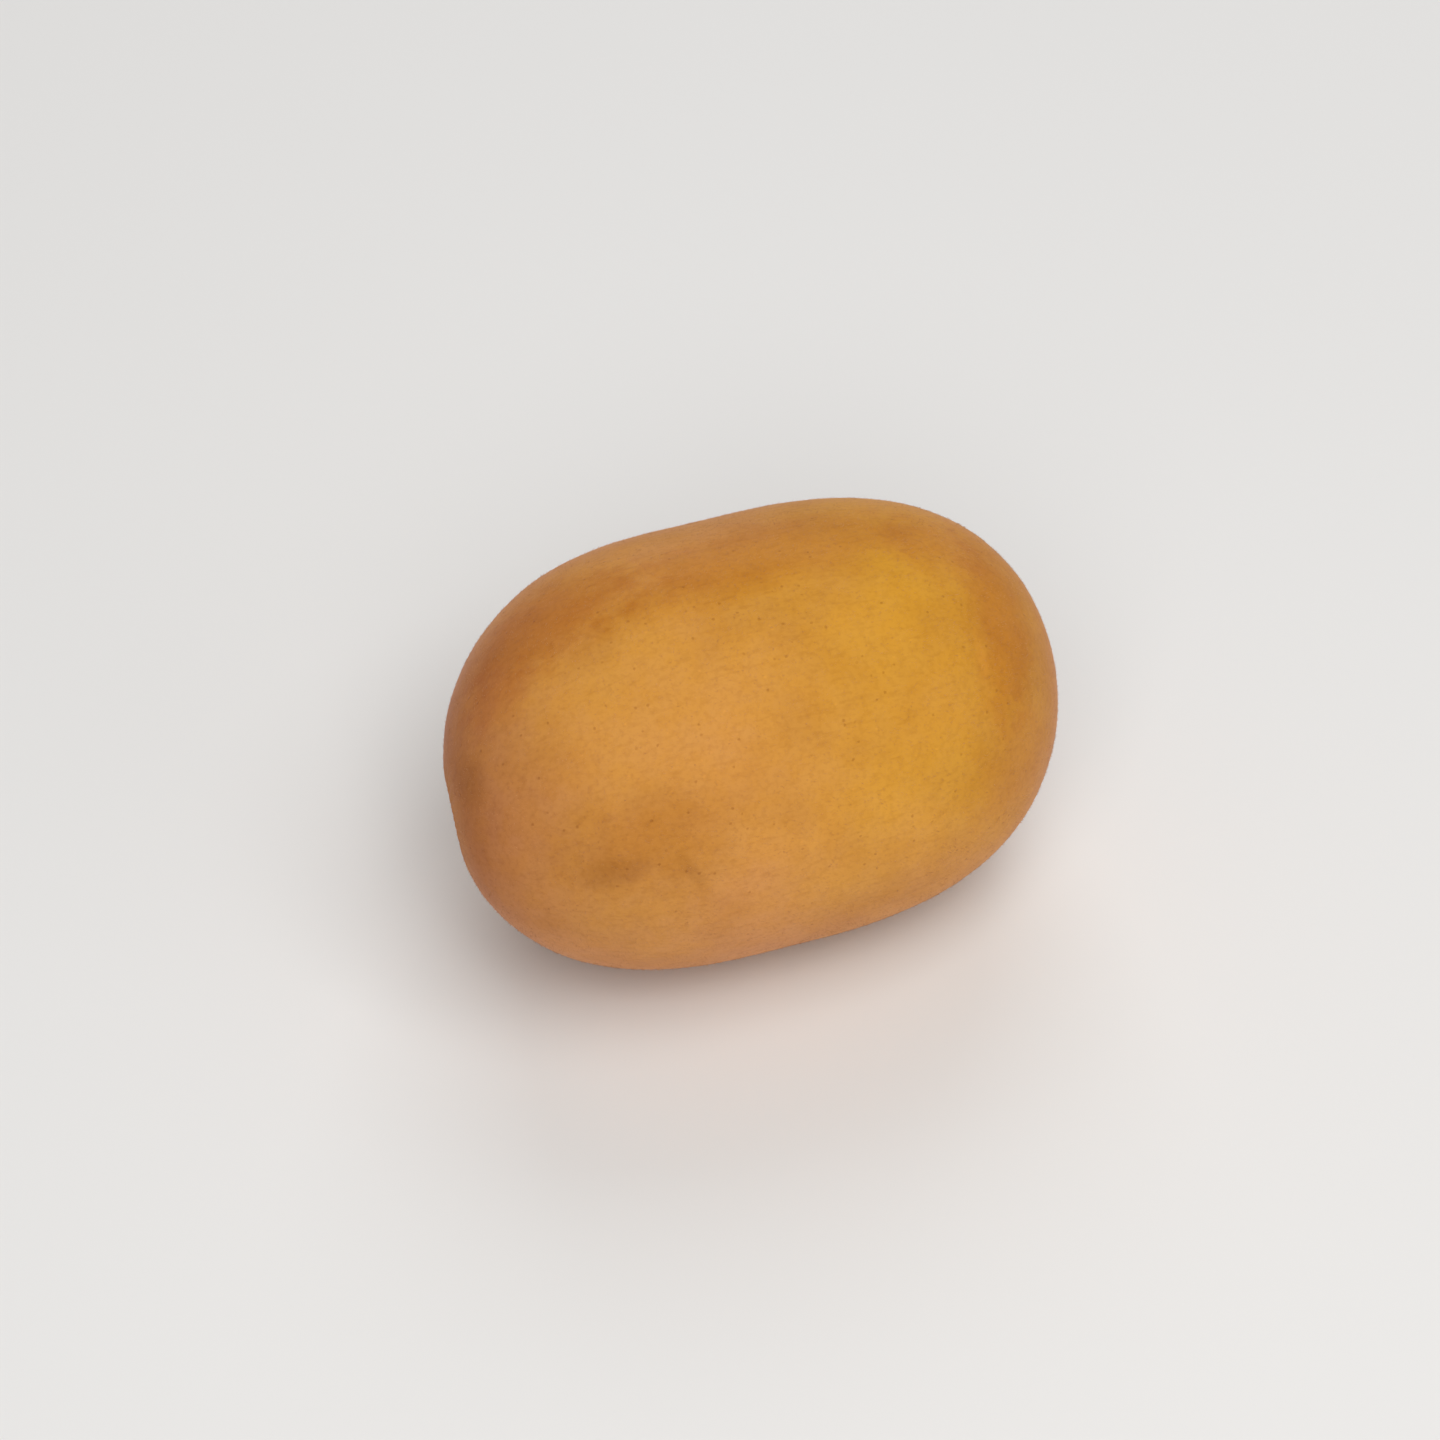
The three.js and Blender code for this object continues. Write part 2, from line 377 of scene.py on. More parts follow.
# From where to where each change rises or fades, in millimetres from the axis.
PIT_FADE = (4.7, 6.1)
BROWNED_FADE = (5.5, 9)
STEM_SHADE_RISE = (4, 11)
STEM_SHADE_FADE = (9, 24)
SHADE_HEIGHT_RISE = (14, 30)  # this one is over the floor
SCAB_FADE = (1.7, 2.7)
OLIVE_FADE = (2.5, 7.5)
BLOSSOM_DUSK_FADE = (10, 26)


def blank_piece(name, points, faces):
    """A mesh object from points in millimetres, with smooth shading."""
    mesh = bpy.data.meshes.new(name)
    mesh.from_pydata((np.asarray(points) * MM).tolist(), [], faces)
    mesh.validate()
    mesh.polygons.foreach_set("use_smooth", [True] * len(mesh.polygons))
    mesh.update()
    piece = bpy.data.objects.new(name, mesh)
    bpy.context.scene.collection.objects.link(piece)
    return piece


def write_on_points(piece, name, values):
    """A number for every point of a piece, for its finish to read."""
    attribute = piece.data.attributes.new(name, "FLOAT", "POINT")
    attribute.data.foreach_set("value", np.asarray(values, np.float32))


fullness = np.where(net_along < 0, STEM_FULLNESS, BLOSSOM_FULLNESS)
scar_radius = MEAN_RADIUS * np.sqrt(np.maximum(0, 1 - np.abs(net_along) ** fullness))
for size, reach, seed in EDGE_BENDS:
    scar_radius += reach * grown_waves(standing, size, seed)
# painted shade for the stem end's shoulder: darker and pinker in a ring out from the scar,
# stronger higher up
stem_shade_share = 0.35 + 0.65 * rise(*STEM_SHADE_RISE, scar_radius)
stem_shade_share *= 1 - rise(*STEM_SHADE_FADE, scar_radius)
stem_shade_share *= 0.5 + 0.5 * rise(*SHADE_HEIGHT_RISE, standing[:, 2])
stem_side = (net_along < 0).astype(float)
blossom_side = 1 - stem_side

skin = blank_piece("fruit_skin", skin_points, skin_faces)
write_on_points(skin, "stem_painted_shade", stem_side * stem_shade_share)
for name, side, fade in (
    ("stem_pit", stem_side, PIT_FADE),
    ("stem_halo", stem_side, BROWNED_FADE),
    ("blossom_scab", blossom_side, SCAB_FADE),
    ("blossom_halo", blossom_side, OLIVE_FADE),
    ("blossom_shoulder", blossom_side, BLOSSOM_DUSK_FADE),
):
    write_on_points(skin, name, side * (1 - rise(*fade, scar_radius)))
print("the skin has", len(skin.data.vertices), "points")

# %% [markdown]
# ## Helpers for finishes
#
# Every finish here is made of nodes, with no picture. A few helpers keep the cells short: one
# adds a node and fills its sockets by name, one does arithmetic, one stretches a range, and one
# mixes two colours. Patterns are placed by the object's own coordinates, in metres, so a size
# in millimetres is turned into a scale by `repeats`.

# %% Helpers for nodes
def fill(tree, socket, value):
    """Sets a socket, or wires another node's output into it."""
    if isinstance(value, bpy.types.NodeSocket):
        tree.links.new(value, socket)
    else:
        socket.default_value = value


def add(tree, kind, settings=(), **sockets):
    """A new node, with its settings and its sockets filled by name."""
    node = tree.nodes.new("ShaderNode" + kind)
    for name, value in dict(settings).items():
        setattr(node, name, value)
    for name, value in sockets.items():
        fill(tree, node.inputs[name.replace("_", " ")], value)
    return node


def scaled(tree, value, by, plus=0.0):
    """A value, or two of them, multiplied, with something added."""
    node = add(tree, "Math", {"operation": "MULTIPLY_ADD"})
    for socket, part in zip(node.inputs, (value, by, plus)):
        fill(tree, socket, part)
    return node.outputs[0]


def stretch(tree, value, low, high, new_low=0.0, new_high=1.0):
    """A smooth rise from `new_low` at `low` to `new_high` at `high`."""
    node = add(
        tree,
        "MapRange",
        {"interpolation_type": "SMOOTHSTEP"},
        Value=value,
        From_Min=low,
        From_Max=high,
        To_Min=new_low,
        To_Max=new_high,
    )
    return node.outputs["Result"]


# %% Helpers for colours and patterns
FACTOR, FIRST_COLOUR, SECOND_COLOUR, MIXED = 0, 6, 7, 2  # sockets of a colour mix


def blend_colours(tree, kind, amount, first, second):
    """Two colours mixed: MIX covers the first by `amount`, and MULTIPLY stains it."""
    node = add(tree, "Mix", {"data_type": "RGBA", "blend_type": kind, "clamp_factor": True})
    fill(tree, node.inputs[FACTOR], amount)
    fill(tree, node.inputs[FIRST_COLOUR], first)
    fill(tree, node.inputs[SECOND_COLOUR], second)
    return node.outputs[MIXED]


def repeats(size):
    """The scale at which a pattern's features are about `size` millimetres across."""
    return 1 / (size * MM)


def cloud(tree, where, size, detail=2.0, rough=0.5):
    """Soft noise with features about `size` millimetres across."""
    node = add(
        tree,
        "TexNoise",
        {"noise_dimensions": "3D"},
        Vector=where,
        Scale=repeats(size * 2),
        Detail=detail,
        Roughness=rough,
    )
    return node.outputs["Fac"]


def read_points(tree, name):
    """A named attribute of the points."""
    return add(tree, "Attribute", {"attribute_name": name}).outputs["Fac"]


def new_finish(name):
    """An empty finish: its node tree, its shader and where its patterns are placed."""
    finish = bpy.data.materials.new(name)
    finish.use_nodes = True
    tree = finish.node_tree
    tree.nodes.clear()
    shader = add(tree, "BsdfPrincipled")
    output = add(tree, "OutputMaterial")
    tree.links.new(shader.outputs[0], output.inputs["Surface"])
    where = add(tree, "TexCoord").outputs["Object"]
    return finish, tree, shader, where


# %% [markdown]
# ## The skin's ground colour
#
# Golden kiwi skin is bronze, and the bronze is not even. It is more orange towards the stem and
# more golden towards the blossom end, most of all on the upper side, and softer patches of both
# wander over the barrel. One colour with a pattern on it would look like paint. So two bronzes
# are mixed by three things at once: how far along the fruit a point is, how high it is, and a
# slow noise. Clouds of a few millimetres darken them, smaller ones turn them yellower, and the
# belly gets a faint bluer tint, a painted sheen like the down's near the lower outline.

# %% Ground colour of the skin
AMBER = (0.63, 0.280, 0.069, 1)
GOLD = (0.63, 0.302, 0.027, 1)
DUSK = (0.80, 0.73, 0.62, 1)
YELLOWER = (1, 0.97, 0.72, 1)
BELLY_PAINTED_SHEEN = (1, 1, 1.3, 1)
PATCH_STRENGTH = 0.42
MOTTLE_STRENGTH = 0.5
WANDER_SIZE, PATCH_SIZE, MOTTLE_SIZE = 14, 5, 1.5  # millimetres
STEM_TO_BLOSSOM = (-0.034, 0.030)  # metres along X
UPPER_SIDE = (0.014, 0.036)  # metres over the floor
UNDERSIDE = (0.038, 0.020)

skin_finish, tree, skin_shader, where = new_finish("golden_skin")
place = add(tree, "SeparateXYZ", Vector=where)
towards_blossom = stretch(tree, place.outputs["X"], *STEM_TO_BLOSSOM)
sunny = stretch(tree, place.outputs["Z"], *UPPER_SIDE, 0.3, 1)
slow = cloud(tree, where, WANDER_SIZE, detail=2.5)
golden = scaled(tree, slow, 1.6, plus=scaled(tree, towards_blossom, sunny, plus=-0.8))
ground = blend_colours(tree, "MIX", golden, AMBER, GOLD)
patches = stretch(tree, cloud(tree, where, PATCH_SIZE, detail=3, rough=0.55), 0.38, 0.66)
ground = blend_colours(tree, "MULTIPLY", scaled(tree, patches, PATCH_STRENGTH), ground, DUSK)
mottles = stretch(tree, cloud(tree, where, MOTTLE_SIZE), 0.38, 0.62)
ground = blend_colours(tree, "MULTIPLY", scaled(tree, mottles, MOTTLE_STRENGTH), ground, YELLOWER)
# painted sheen: the underside is made bluer, as the down's sheen looks near the lower outline
underside_sheen = stretch(tree, place.outputs["Z"], *UNDERSIDE)
ground = blend_colours(tree, "MULTIPLY", underside_sheen, ground, BELLY_PAINTED_SHEEN)
print("the ground colour has", len(tree.nodes), "nodes")

# %% [markdown]
# ## Grain, flecks and pressed hairs
#
# From close by, the skin is a fine felt. It has a grain of a third of a millimetre, short dark
# strokes where hairs lie pressed along the fruit, and lenticels, the brown specks that a fruit
# breathes through. The strokes are noise that is stretched along X. The specks are the middles
# of Voronoi cells, frayed by a finer noise, and a second draw for each cell leaves many out.

# %% Grain, flecks and pressed hairs of the skin
BRONZE_FLECK = (0.50, 0.36, 0.24, 1)
GRAIN_SHADE = (0.80, 0.74, 0.68, 1)
PALE_FLECK = (1.16, 1.15, 1.12, 1)
FELT_STRENGTH = 0.34
DASH_STRENGTH = 0.27
LENTICEL_STRENGTH = 0.40
PALE_STRENGTH = 0.5
GRAIN_SIZE, STROKE_SIZE = 0.32, 0.30  # millimetres
STROKE_SQUEEZE, PALE_SQUEEZE = 0.22, 0.8
LENTICELS = (1.5, 0.24, 0.55)  # mm apart, radius in mm, and on what share of the cells
PALE_SPECKS = (1.1, 0.2, 0.3)


def squeezed(tree, where, squeeze):
    """Coordinates squeezed along X, which stretches a pattern that way."""
    node = add(tree, "VectorMath", {"operation": "MULTIPLY"})
    fill(tree, node.inputs[0], where)
    fill(tree, node.inputs[1], (squeeze, 1, 1))
    return node.outputs[0]


def specks(tree, where, spacing, radius, share, fray=0.16, fray_size=0.12):
    """Frayed specks, `spacing` millimetres apart, on this share of the cells."""
    cells = add(tree, "TexVoronoi", {"feature": "F1"}, Vector=where, Scale=repeats(spacing))
    noise = cloud(tree, where, fray_size)
    frayed = scaled(tree, noise, fray, plus=cells.outputs["Distance"])
    reach = radius / spacing
    dot = stretch(tree, frayed, reach + fray / 2, 0.35 * reach + fray / 2)
    draw = add(tree, "SeparateColor", Color=cells.outputs["Color"]).outputs["Red"]
    chosen = stretch(tree, draw, share, share * 0.8)
    return scaled(tree, dot, chosen)


grain = cloud(tree, where, GRAIN_SIZE, rough=0.6)
strokes = cloud(tree, squeezed(tree, where, STROKE_SQUEEZE), STROKE_SIZE, detail=1)
lenticels = specks(tree, where, *LENTICELS)
pale_specks = specks(tree, squeezed(tree, where, PALE_SQUEEZE), *PALE_SPECKS)
coat = ground
for pattern, strength, colour in (
    (stretch(tree, grain, 0.42, 0.68), FELT_STRENGTH, GRAIN_SHADE),
    (stretch(tree, strokes, 0.54, 0.72), DASH_STRENGTH, GRAIN_SHADE),
    (lenticels, LENTICEL_STRENGTH, BRONZE_FLECK),
    (pale_specks, PALE_STRENGTH, PALE_FLECK),
):
    coat = blend_colours(tree, "MULTIPLY", scaled(tree, pattern, strength), coat, colour)
print("the skin's finish has", len(tree.nodes), "nodes so far")

# %% [markdown]
# ## Marks of a life in the orchard
#
# A picked fruit carries soft marks. It is redder over the stem end, with a golden streak beside
# that. A band near the blossom end and one along its back are painted shade, darker and redder
# where the skin turns away from the light. A bluer painted sheen lies behind the golden streak,
# on a cheek on either side of the pale scuff near the blossom end and on a cheek near the stem
# end. One flank is tanned low down, with a warm patch on it, and paler beside that. Leaves
# rubbed a brown wedge and a short arc into it. Near the blossom end is a pale scuff, and near
# the stem end a dull patch and a russet one.
# They could be painted by hand, but a painted image has one fineness. Here each is a smooth
# spot, placed on the skin by its real position in millimetres, drawn out along the fruit, and
# frayed at its edge by noise, so that none looks stamped on.

# %% Colours and shape of a mark
FLUSH = (0.80, 0.65, 0.48, 1)
PAINTED_SHADE_BROWN = (0.82, 0.65, 0.60, 1)
TAN = (0.84, 0.84, 0.68, 1)
STREAK_GOLD = (0.96, 0.90, 0.54, 1)
PAINTED_SHEEN_ROSE = (0.93, 0.86, 1.02, 1)
PAINTED_SHEEN_COOL = (0.97, 0.96, 1.25, 1)
RUSSET = (0.90, 0.78, 0.80, 1)
PAINTED_SHEEN_BLUE = (1, 1, 1.3, 1)
RUB_BROWN = (0.64, 0.56, 0.46, 1)
PALE_FLANK = (1.08, 1.10, 1.16, 1)
PALE_SCUFF = (1.14, 1.15, 1.20, 1)
FRAY_SIZE = 1.3  # millimetres


def mark(tree, where, middle, half_sizes, turn, fray):
    """A soft frayed spot, 1 at `middle` and 0 beyond `half_sizes`, in millimetres."""
    place = add(tree, "Mapping", {"vector_type": "TEXTURE"}, Vector=where)
    place.inputs["Location"].default_value = [value * MM for value in middle]
    place.inputs["Rotation"].default_value = (0, turn, 0)
    place.inputs["Scale"].default_value = [value * MM for value in half_sizes]
    reach = add(tree, "VectorMath", {"operation": "LENGTH"}, Vector=place.outputs[0])
    noise = cloud(tree, where, FRAY_SIZE, detail=3)
    frayed = scaled(tree, noise, fray, plus=reach.outputs["Value"])
    return stretch(tree, frayed, 1.15 + fray / 2, 0.35 + fray / 2)


# %% Marks on the skin
# Each mark: its middle and half sizes in millimetres, how far it is turned in radians, how
# frayed its edge is, how strong it is and the colour that it multiplies the skin by, a stain,
# painted shade or painted sheen.
MARKS = {
    "flush": ((-24, 5.5, 45), (15.5, 9, 7.5), -0.35, 0.7, 0.95, FLUSH),
    # band and back: painted shade, darker and redder where the skin turns away from the light
    "band": ((28, -8, 40.5), (6, 18, 12), 0.5, 0.7, 0.75, PAINTED_SHADE_BROWN),
    "back": ((5, 4.5, 48.3), (26, 7.5, 8), 0, 0.7, 0.55, PAINTED_SHADE_BROWN),
    "golden streak": ((-5, 0, 48.8), (15, 4, 6), -0.1, 0.7, 0.8, STREAK_GOLD),
    "russet patch": ((-31, -1, 41.2), (6.5, 5.5, 6), 0, 0.7, 0.8, RUSSET),
    # these four: painted sheen, bluer near the outline as the down's sheen looks there
    "painted sheen behind": ((5, 10.5, 46.5), (24, 4.5, 6), 0, 0.7, 0.9, PAINTED_SHEEN_BLUE),
    "lower painted sheen": ((25.5, -19.5, 29), (9, 7, 8), 0, 0.7, 0.8, PAINTED_SHEEN_ROSE),
    "upper painted sheen": ((22.5, 1.5, 45.8), (8, 7, 5), 0, 0.7, 0.9, PAINTED_SHEEN_ROSE),
    "stem painted sheen": ((-31.5, -11, 36.5), (7, 11, 10), 0, 0.7, 0.9, PAINTED_SHEEN_COOL),
    "tanned flank": ((-22, -21, 30), (15, 10, 12), 0, 0.7, 0.5, TAN),
    "pale flank": ((6, -24, 28), (12, 9, 9), 0, 0.7, 0.7, PALE_FLANK),
    "warm patch": ((-19, -22.5, 34.5), (9, 6, 6), 0, 0.9, 0.35, FLUSH),
    "rubbed wedge": ((-23.4, -22, 31.2), (5.2, 5, 2.2), -0.28, 0.8, 0.45, RUB_BROWN),
    "rubbed arc": ((-15.2, -24.8, 30.6), (1, 4, 3.3), -0.5, 0.5, 0.3, RUB_BROWN),
    "dull patch": ((-36, -6.8, 35.2), (3.8, 3.6, 3.2), 0, 0.9, 0.3, RUB_BROWN),
    "pale scuff": ((23.7, -12.6, 41.3), (0.8, 5, 2.2), 0, 0.5, 0.7, PALE_SCUFF),
}

for middle, half_sizes, turn, fray, strength, colour in MARKS.values():
    spot = mark(tree, where, middle, half_sizes, turn, fray)
    coat = blend_colours(tree, "MULTIPLY", scaled(tree, spot, strength), coat, colour)
print("the skin carries", len(MARKS), "marks")

# %% [markdown]
# ## The ends of the skin
#
# The blossom end's shoulder is duller than the belly, darker and a little pink, and the stem
# end's shoulder gets painted shade, darker and pinker. Each scar has its own surroundings: a dark
# corky pit and a browned ring at the stem end, and olive skin round a dark scab at the blossom
# end. The attributes on the points say where, and each is one layer more. MULTIPLY tints the
# skin and keeps its grain, and MIX covers it.

# %% Colour the ends
# the first colour, for the stem end's shoulder, is painted shade
STEM_PAINTED_SHADE = (0.69, 0.565, 0.65, 1)
BLOSSOM_DUSK = (0.76, 0.60, 0.76, 1)
BROWNED_RING = (0.42, 0.155, 0.030, 1)
PIT_BROWN = (0.32, 0.115, 0.018, 1)
OLIVE = (0.36, 0.235, 0.040, 1)
SCAB_BROWN = (0.10, 0.045, 0.018, 1)

# Each layer, in order: its attribute, how strong it is, how it is laid and its colour.
END_LAYERS = [
    # the stem end's shoulder layer is painted shade
    ("stem_painted_shade", 1.0, "MULTIPLY", STEM_PAINTED_SHADE),
    ("blossom_shoulder", 0.45, "MULTIPLY", BLOSSOM_DUSK),
    ("stem_halo", 0.42, "MIX", BROWNED_RING),
    ("stem_pit", 0.85, "MIX", PIT_BROWN),
    ("blossom_halo", 0.6, "MIX", OLIVE),
    ("blossom_scab", 0.9, "MIX", SCAB_BROWN),
]

for name, strength, kind, colour in END_LAYERS:
    amount = scaled(tree, read_points(tree, name), strength)
    coat = blend_colours(tree, kind, amount, coat, colour)
fill(tree, skin_shader.inputs["Base Color"], coat)
print("the ends are coloured in", len(END_LAYERS), "layers")

# %% [markdown]
# ## How the skin feels
#
# The skin is dry and leathery. Three bumps give it touch, a few hundredths of a millimetre each:
# the grain, the pressed hairs and the raised lenticels. They are too fine for the net. There is
# next to no gloss, so the specular level is very low, and the roughness wanders a little. Down
# catches light wherever the skin turns away from the eye. A few drawn hairs can't show that, so
# a sheen does, pale and pinkish. Roughness comes from nodes, and the other values are the same
# all over, so they are set on the shader itself.

# %% Bump, roughness and sheen of the skin
GRAIN_DEPTH = 0.035
STROKE_DEPTH = 0.03
LENTICEL_HEIGHT = 0.03
SKIN_ROUGHNESS = (0.60, 0.72)
SKIN_GLOSS = 0.05
SHEEN_WEIGHT = 0.35
SHEEN_ROUGHNESS = 0.45
SHEEN_TINT = (0.80, 0.44, 0.36, 1)


def raised(tree, height, depth, below=None):
    """A bump of `depth` millimetres, on top of another."""
    node = add(tree, "Bump", Height=height, Distance=depth * MM)
    if below is not None:
        fill(tree, node.inputs["Normal"], below)
    return node.outputs["Normal"]


touch = raised(tree, grain, GRAIN_DEPTH)
touch = raised(tree, strokes, STROKE_DEPTH, touch)
touch = raised(tree, lenticels, LENTICEL_HEIGHT, touch)
fill(tree, skin_shader.inputs["Normal"], touch)
fill(tree, skin_shader.inputs["Roughness"], stretch(tree, slow, 0.35, 0.68, *SKIN_ROUGHNESS))
skin_shader.inputs["Specular IOR Level"].default_value = SKIN_GLOSS
skin_shader.inputs["Sheen Weight"].default_value = SHEEN_WEIGHT
skin_shader.inputs["Sheen Roughness"].default_value = SHEEN_ROUGHNESS
skin_shader.inputs["Sheen Tint"].default_value = SHEEN_TINT
skin.data.materials.append(skin_finish)
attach(skin, "root")
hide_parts("kiwi_fruit")
print("the skin's finish has", len(tree.nodes), "nodes")

# %% [markdown]
# ## The corky button
#
# Where the stalk broke off, a plug of cork is left in the pit: a low button with a roughly
# five-cornered rim, a torn hole in its middle where the stalk's core came out, and faint cracks
# that run out from it. It stands nearly upright from the pit's floor, which the skin's net can't
# follow, so it is a piece of its own. It is drawn as a disc of rings on top, then a wall, then
# a closed foot that is sunk a little under the skin.

# %% Shape the button
BUTTON_RADIUS = 3.5
BUTTON_HEIGHT = 1.0
STALK_HOLE_RADIUS = 0.95
STALK_HOLE_DEPTH = 0.45
BUTTON_SPOKES = 200
TOP_RINGS = 52
WALL_RINGS = 14
BUTTON_SUNK = 0.25
CRACKS = 7
CRACK_DEPTH = 0.07
LIP_HEIGHT = 0.10  # round the hole
RING_DEPTH = 0.07
RIM_DROP = 0.32
DISH_DEPTH = 0.12  # between the hole and the rim


def stem_floor(radius, angle):
    """The skin of the stem end, at a distance from its pole, before it is pressed."""
    return skin_point(-station_at(radius, STEM_FULLNESS), angle)


def button_edge(angle):
    """How far out the button's rim is."""
    wave = 0.07 * np.cos(5 * angle + 0.4) + 0.05 * np.cos(3 * angle + 2)
    chips = 0.016 * np.cos(11 * angle + 1) + 0.012 * np.cos(17 * angle + 3)
    return BUTTON_RADIUS * (1 + wave + chips)


def button_top(share, angle):
    """The height of the button's top, from 0 at its middle to 1 at its rim."""
    radius = share * BUTTON_RADIUS
    torn = radius * (1 + 0.14 * np.cos(3 * angle + 1) + 0.10 * np.cos(7 * angle))
    hole = -STALK_HOLE_DEPTH * (1 - rise(0.35, STALK_HOLE_RADIUS, torn))
    lip = LIP_HEIGHT * hump(STALK_HOLE_RADIUS + 0.2, 0.2, torn)
    ring = -RING_DEPTH * hump(0.66 + 0.03 * np.cos(4 * angle), 0.05, share)
    bent = angle + 0.25 * np.sin(2.2 * radius)
    crack = np.abs(np.sin(CRACKS / 2 * bent + 0.5 * np.sin(2 * angle)))
    split = -CRACK_DEPTH * (1 - rise(0, 0.16, crack)) * rise(0.3, 0.5, share)
    rounded = -RIM_DROP * rise(0.80, 1.02, share) ** 2
    dish = -DISH_DEPTH * hump(0.45, 0.2, share)
    return BUTTON_HEIGHT + hole + lip + ring + split + rounded + dish


top_share = np.linspace(0, 1, TOP_RINGS + 1)[1:]
wall_share = np.linspace(0, 1, WALL_RINGS + 1)[1:]
button_angles = np.arange(BUTTON_SPOKES) * 2 * math.pi / BUTTON_SPOKES
share, angle = np.meshgrid(top_share, button_angles, indexing="ij")
top = stem_floor(share * button_edge(angle), angle)
top[..., 0] -= button_top(share, angle)
fall, angle = np.meshgrid(wall_share, button_angles, indexing="ij")
tuck = 1 + 0.03 * np.sin(math.pi * fall) - 0.07 * fall
wall_height = button_top(1.0, angle) * (1 - fall) - BUTTON_SUNK * fall
wall = stem_floor(tuck * button_edge(angle), angle)
wall[..., 0] -= wall_height
crown = stem_floor(np.zeros(1), np.zeros(1)) - [button_top(0.0, 0.0), 0, 0]
foot = stem_floor(np.zeros(1), np.zeros(1)) + [BUTTON_SUNK, 0, 0]
button_points = np.concatenate([crown, top.reshape(-1, 3), wall.reshape(-1, 3), foot])
button_faces = net_faces(TOP_RINGS + WALL_RINGS, BUTTON_SPOKES)
print("the button has", len(button_faces), "faces")

# %% [markdown]
# ## Crumbled cork
#
# Cork breaks in crumbs. The button's points are pushed in and out by the same cosine waves as
# the skin's, only much finer and rougher. Then it is moved to where the skin stands. Nothing is
# pressed here, because the button is nowhere near the floor. Its points also keep how deep
# they lie, so that the finish can darken the hole, the cracks and the wall.

# %% Crumble the button and set it in the pit
CRUMBS = [(0.7, 0.03, 11), (0.3, 0.035, 12), (0.14, 0.02, 13)]  # size, height in mm, and seed

button_normals = outward_normals(button_points, button_faces)
crumble = sum(height * grown_waves(button_points, size, seed) for size, height, seed in CRUMBS)
crumbled = button_points + button_normals * crumble[:, None]
button = blank_piece("stem_button", crumbled + to_frame, button_faces)
top_depth = BUTTON_HEIGHT - button_top(*np.meshgrid(top_share, button_angles, indexing="ij"))
wall_depth = BUTTON_HEIGHT - wall_height
depths = np.r_[STALK_HOLE_DEPTH, top_depth.ravel(), wall_depth.ravel(), BUTTON_HEIGHT]
write_on_points(button, "depth", depths - crumble)
print("the button is crumbled by up to", np.abs(crumble).max().round(2), "mm")

# %% [markdown]
# ## The finish of cork
#
# Fresh cork is light tan. One mix wanders between two tans, and another goes on to dark brown
# with depth, which the points carry, so the hole, the cracks and the wall are darker. Between
# them lies a fine speckle of crumbs. Cork is quite dull, so its roughness is high and it has
# little gloss, and a bump of a few hundredths of a millimetre keeps it dry.

# %% Finish the button
CORK_TAN = (0.66, 0.27, 0.075, 1)
CORK_PALE = (0.70, 0.33, 0.10, 1)
CORK_DARK = (0.22, 0.080, 0.017, 1)
CORK_SPECK = (0.42, 0.30, 0.20, 1)
CORK_ROUGHNESS = (0.78, 0.92)
CORK_GLOSS = 0.1
CRUMB_SIZE = 0.10
CRUMB_DEPTH = 0.05

cork_finish, tree, cork_shader, where = new_finish("dry_cork")
cork_cloud = cloud(tree, where, 0.8, detail=3)
cork = blend_colours(tree, "MIX", stretch(tree, cork_cloud, 0.35, 0.65), CORK_TAN, CORK_PALE)
crumbs = cloud(tree, where, CRUMB_SIZE, detail=3, rough=0.65)
speckle = scaled(tree, stretch(tree, crumbs, 0.45, 0.66), 0.32)
cork = blend_colours(tree, "MULTIPLY", speckle, cork, CORK_SPECK)
deep = stretch(tree, read_points(tree, "depth"), 0.16, 0.62)
cork = blend_colours(tree, "MIX", deep, cork, CORK_DARK)
fill(tree, cork_shader.inputs["Base Color"], cork)
fill(tree, cork_shader.inputs["Roughness"], stretch(tree, cork_cloud, 0.3, 0.7, *CORK_ROUGHNESS))
cork_shader.inputs["Specular IOR Level"].default_value = CORK_GLOSS
fill(tree, cork_shader.inputs["Normal"], raised(tree, crumbs, CRUMB_DEPTH))
button.data.materials.append(cork_finish)
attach(button, "root")
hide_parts("kiwi_fruit")
print("the cork's finish has", len(tree.nodes), "nodes")

# %% [markdown]
# ## Dried sepals
#
# Five sepals held the flower. On the fruit they have dried together to a papery collar round the
# button, with five uneven lobes and a ragged edge. Five separate scraps would read as a star. So
# the collar is one closed sheet. A grid of points runs out from the button over the pit's floor
# and wall, crumples a little and lifts towards the edge, and a second layer comes back a tenth
# of a millimetre under it.

# %% Shape the sepals
COLLAR_INNER = 3.5
COLLAR_OUTER = 4.8  # between the lobes it is narrower, and at their tips wider
COLLAR_LOBE = 0.42
COLLAR_THICKNESS = 0.12
COLLAR_LIFT = 0.14  # over the skin
CRUMPLE = (0.5, 0.07, 50)  # size, height in mm, and seed
COLLAR_ROWS = 22
COLLAR_SPOKES = 400


def ring_sheet_faces(rows, spokes):
    """Faces of a closed sheet that runs out over `rows` and back under them, all round."""
    row, spoke = np.meshgrid(np.arange(2 * rows), np.arange(spokes), indexing="ij")
    next_row, next_spoke = (row + 1) % (2 * rows), (spoke + 1) % spokes
    corners = [
        row * spokes + spoke,
        row * spokes + next_spoke,
        next_row * spokes + next_spoke,
        next_row * spokes + spoke,
    ]
    return np.stack(corners, axis=-1).reshape(-1, 4).tolist()


